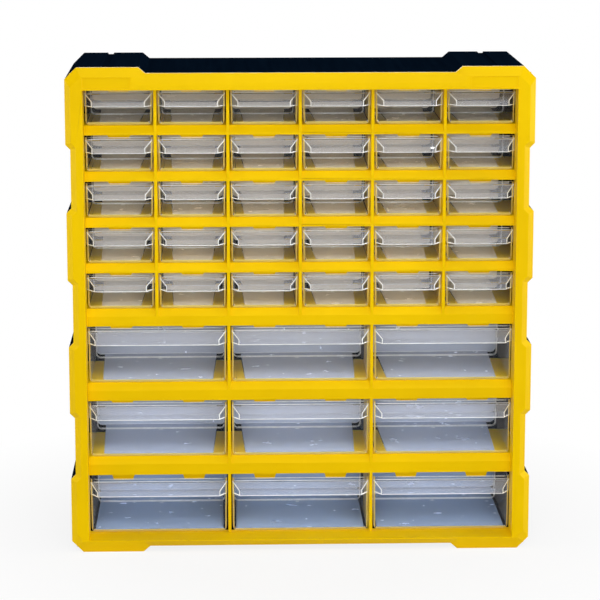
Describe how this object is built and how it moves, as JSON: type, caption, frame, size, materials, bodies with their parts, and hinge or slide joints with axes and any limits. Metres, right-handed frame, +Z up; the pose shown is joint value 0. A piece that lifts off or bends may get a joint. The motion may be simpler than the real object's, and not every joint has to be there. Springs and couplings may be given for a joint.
{
  "type": "parts bin cabinet",
  "caption": "Free-standing storage cabinet with a grid of small clear drawers over rows of large ones, in a bevelled front frame on a dark housing.",
  "frame": {"origin": "middle of the footprint, on the floor that the bottom corner blocks stand on", "axes": "+Z up; the drawers open towards -Y, so the front faces -Y and the back is at +Y; X runs along the width"},
  "size_m": [0.48, 0.16, 0.51],
  "materials": {
    "yellow_front": "satin moulded plastic",
    "dark_housing": "fine-grained matt moulded plastic",
    "clear_drawer": "clear gloss plastic, slightly milky"
  },
  "bodies": {
    "cabinet": {"front_frame": "yellow_front", "rear_housing": "dark_housing", "base_uprights": "yellow_front", "small_shelf_1": "yellow_front", "small_shelf_2": "yellow_front", "small_shelf_3": "yellow_front", "small_shelf_4": "yellow_front", "small_shelf_5": "yellow_front", "large_shelf_1": "yellow_front", "large_shelf_2": "yellow_front"},
    "small_drawer_r1_c1": {"small_drawer_r1_c1": "clear_drawer"},
    "small_drawer_r1_c2": {"small_drawer_r1_c2": "clear_drawer"},
    "small_drawer_r1_c3": {"small_drawer_r1_c3": "clear_drawer"},
    "small_drawer_r1_c4": {"small_drawer_r1_c4": "clear_drawer"},
    "small_drawer_r1_c5": {"small_drawer_r1_c5": "clear_drawer"},
    "small_drawer_r1_c6": {"small_drawer_r1_c6": "clear_drawer"},
    "small_drawer_r2_c1": {"small_drawer_r2_c1": "clear_drawer"},
    "small_drawer_r2_c2": {"small_drawer_r2_c2": "clear_drawer"},
    "small_drawer_r2_c3": {"small_drawer_r2_c3": "clear_drawer"},
    "small_drawer_r2_c4": {"small_drawer_r2_c4": "clear_drawer"},
    "small_drawer_r2_c5": {"small_drawer_r2_c5": "clear_drawer"},
    "small_drawer_r2_c6": {"small_drawer_r2_c6": "clear_drawer"},
    "small_drawer_r3_c1": {"small_drawer_r3_c1": "clear_drawer"},
    "small_drawer_r3_c2": {"small_drawer_r3_c2": "clear_drawer"},
    "small_drawer_r3_c3": {"small_drawer_r3_c3": "clear_drawer"},
    "small_drawer_r3_c4": {"small_drawer_r3_c4": "clear_drawer"},
    "small_drawer_r3_c5": {"small_drawer_r3_c5": "clear_drawer"},
    "small_drawer_r3_c6": {"small_drawer_r3_c6": "clear_drawer"},
    "small_drawer_r4_c1": {"small_drawer_r4_c1": "clear_drawer"},
    "small_drawer_r4_c2": {"small_drawer_r4_c2": "clear_drawer"},
    "small_drawer_r4_c3": {"small_drawer_r4_c3": "clear_drawer"},
    "small_drawer_r4_c4": {"small_drawer_r4_c4": "clear_drawer"},
    "small_drawer_r4_c5": {"small_drawer_r4_c5": "clear_drawer"},
    "small_drawer_r4_c6": {"small_drawer_r4_c6": "clear_drawer"},
    "small_drawer_r5_c1": {"small_drawer_r5_c1": "clear_drawer"},
    "small_drawer_r5_c2": {"small_drawer_r5_c2": "clear_drawer"},
    "small_drawer_r5_c3": {"small_drawer_r5_c3": "clear_drawer"},
    "small_drawer_r5_c4": {"small_drawer_r5_c4": "clear_drawer"},
    "small_drawer_r5_c5": {"small_drawer_r5_c5": "clear_drawer"},
    "small_drawer_r5_c6": {"small_drawer_r5_c6": "clear_drawer"},
    "large_drawer_r1_c1": {"large_drawer_r1_c1": "clear_drawer"},
    "large_drawer_r1_c2": {"large_drawer_r1_c2": "clear_drawer"},
    "large_drawer_r1_c3": {"large_drawer_r1_c3": "clear_drawer"},
    "large_drawer_r2_c1": {"large_drawer_r2_c1": "clear_drawer"},
    "large_drawer_r2_c2": {"large_drawer_r2_c2": "clear_drawer"},
    "large_drawer_r2_c3": {"large_drawer_r2_c3": "clear_drawer"},
    "large_drawer_r3_c1": {"large_drawer_r3_c1": "clear_drawer"},
    "large_drawer_r3_c2": {"large_drawer_r3_c2": "clear_drawer"},
    "large_drawer_r3_c3": {"large_drawer_r3_c3": "clear_drawer"}
  },
  "joints": [
    {"name": "small_drawer_r1_c1_slide", "type": "slide", "parent": "cabinet", "child": "small_drawer_r1_c1", "axis": [0, -1, 0], "range_m": [0, 0.124]},
    {"name": "small_drawer_r1_c2_slide", "type": "slide", "parent": "cabinet", "child": "small_drawer_r1_c2", "axis": [0, -1, 0], "range_m": [0, 0.124]},
    {"name": "small_drawer_r1_c3_slide", "type": "slide", "parent": "cabinet", "child": "small_drawer_r1_c3", "axis": [0, -1, 0], "range_m": [0, 0.124]},
    {"name": "small_drawer_r1_c4_slide", "type": "slide", "parent": "cabinet", "child": "small_drawer_r1_c4", "axis": [0, -1, 0], "range_m": [0, 0.124]},
    {"name": "small_drawer_r1_c5_slide", "type": "slide", "parent": "cabinet", "child": "small_drawer_r1_c5", "axis": [0, -1, 0], "range_m": [0, 0.124]},
    {"name": "small_drawer_r1_c6_slide", "type": "slide", "parent": "cabinet", "child": "small_drawer_r1_c6", "axis": [0, -1, 0], "range_m": [0, 0.124]},
    {"name": "small_drawer_r2_c1_slide", "type": "slide", "parent": "cabinet", "child": "small_drawer_r2_c1", "axis": [0, -1, 0], "range_m": [0, 0.124]},
    {"name": "small_drawer_r2_c2_slide", "type": "slide", "parent": "cabinet", "child": "small_drawer_r2_c2", "axis": [0, -1, 0], "range_m": [0, 0.124]},
    {"name": "small_drawer_r2_c3_slide", "type": "slide", "parent": "cabinet", "child": "small_drawer_r2_c3", "axis": [0, -1, 0], "range_m": [0, 0.124]},
    {"name": "small_drawer_r2_c4_slide", "type": "slide", "parent": "cabinet", "child": "small_drawer_r2_c4", "axis": [0, -1, 0], "range_m": [0, 0.124]},
    {"name": "small_drawer_r2_c5_slide", "type": "slide", "parent": "cabinet", "child": "small_drawer_r2_c5", "axis": [0, -1, 0], "range_m": [0, 0.124]},
    {"name": "small_drawer_r2_c6_slide", "type": "slide", "parent": "cabinet", "child": "small_drawer_r2_c6", "axis": [0, -1, 0], "range_m": [0, 0.124]},
    {"name": "small_drawer_r3_c1_slide", "type": "slide", "parent": "cabinet", "child": "small_drawer_r3_c1", "axis": [0, -1, 0], "range_m": [0, 0.124]},
    {"name": "small_drawer_r3_c2_slide", "type": "slide", "parent": "cabinet", "child": "small_drawer_r3_c2", "axis": [0, -1, 0], "range_m": [0, 0.124]},
    {"name": "small_drawer_r3_c3_slide", "type": "slide", "parent": "cabinet", "child": "small_drawer_r3_c3", "axis": [0, -1, 0], "range_m": [0, 0.124]},
    {"name": "small_drawer_r3_c4_slide", "type": "slide", "parent": "cabinet", "child": "small_drawer_r3_c4", "axis": [0, -1, 0], "range_m": [0, 0.124]},
    {"name": "small_drawer_r3_c5_slide", "type": "slide", "parent": "cabinet", "child": "small_drawer_r3_c5", "axis": [0, -1, 0], "range_m": [0, 0.124]},
    {"name": "small_drawer_r3_c6_slide", "type": "slide", "parent": "cabinet", "child": "small_drawer_r3_c6", "axis": [0, -1, 0], "range_m": [0, 0.124]},
    {"name": "small_drawer_r4_c1_slide", "type": "slide", "parent": "cabinet", "child": "small_drawer_r4_c1", "axis": [0, -1, 0], "range_m": [0, 0.124]},
    {"name": "small_drawer_r4_c2_slide", "type": "slide", "parent": "cabinet", "child": "small_drawer_r4_c2", "axis": [0, -1, 0], "range_m": [0, 0.124]},
    {"name": "small_drawer_r4_c3_slide", "type": "slide", "parent": "cabinet", "child": "small_drawer_r4_c3", "axis": [0, -1, 0], "range_m": [0, 0.124]},
    {"name": "small_drawer_r4_c4_slide", "type": "slide", "parent": "cabinet", "child": "small_drawer_r4_c4", "axis": [0, -1, 0], "range_m": [0, 0.124]},
    {"name": "small_drawer_r4_c5_slide", "type": "slide", "parent": "cabinet", "child": "small_drawer_r4_c5", "axis": [0, -1, 0], "range_m": [0, 0.124]},
    {"name": "small_drawer_r4_c6_slide", "type": "slide", "parent": "cabinet", "child": "small_drawer_r4_c6", "axis": [0, -1, 0], "range_m": [0, 0.124]},
    {"name": "small_drawer_r5_c1_slide", "type": "slide", "parent": "cabinet", "child": "small_drawer_r5_c1", "axis": [0, -1, 0], "range_m": [0, 0.124]},
    {"name": "small_drawer_r5_c2_slide", "type": "slide", "parent": "cabinet", "child": "small_drawer_r5_c2", "axis": [0, -1, 0], "range_m": [0, 0.124]},
    {"name": "small_drawer_r5_c3_slide", "type": "slide", "parent": "cabinet", "child": "small_drawer_r5_c3", "axis": [0, -1, 0], "range_m": [0, 0.124]},
    {"name": "small_drawer_r5_c4_slide", "type": "slide", "parent": "cabinet", "child": "small_drawer_r5_c4", "axis": [0, -1, 0], "range_m": [0, 0.124]},
    {"name": "small_drawer_r5_c5_slide", "type": "slide", "parent": "cabinet", "child": "small_drawer_r5_c5", "axis": [0, -1, 0], "range_m": [0, 0.124]},
    {"name": "small_drawer_r5_c6_slide", "type": "slide", "parent": "cabinet", "child": "small_drawer_r5_c6", "axis": [0, -1, 0], "range_m": [0, 0.124]},
    {"name": "large_drawer_r1_c1_slide", "type": "slide", "parent": "cabinet", "child": "large_drawer_r1_c1", "axis": [0, -1, 0], "range_m": [0, 0.124]},
    {"name": "large_drawer_r1_c2_slide", "type": "slide", "parent": "cabinet", "child": "large_drawer_r1_c2", "axis": [0, -1, 0], "range_m": [0, 0.124]},
    {"name": "large_drawer_r1_c3_slide", "type": "slide", "parent": "cabinet", "child": "large_drawer_r1_c3", "axis": [0, -1, 0], "range_m": [0, 0.124]},
    {"name": "large_drawer_r2_c1_slide", "type": "slide", "parent": "cabinet", "child": "large_drawer_r2_c1", "axis": [0, -1, 0], "range_m": [0, 0.124]},
    {"name": "large_drawer_r2_c2_slide", "type": "slide", "parent": "cabinet", "child": "large_drawer_r2_c2", "axis": [0, -1, 0], "range_m": [0, 0.124]},
    {"name": "large_drawer_r2_c3_slide", "type": "slide", "parent": "cabinet", "child": "large_drawer_r2_c3", "axis": [0, -1, 0], "range_m": [0, 0.124]},
    {"name": "large_drawer_r3_c1_slide", "type": "slide", "parent": "cabinet", "child": "large_drawer_r3_c1", "axis": [0, -1, 0], "range_m": [0, 0.124]},
    {"name": "large_drawer_r3_c2_slide", "type": "slide", "parent": "cabinet", "child": "large_drawer_r3_c2", "axis": [0, -1, 0], "range_m": [0, 0.124]},
    {"name": "large_drawer_r3_c3_slide", "type": "slide", "parent": "cabinet", "child": "large_drawer_r3_c3", "axis": [0, -1, 0], "range_m": [0, 0.124]}
  ]
}
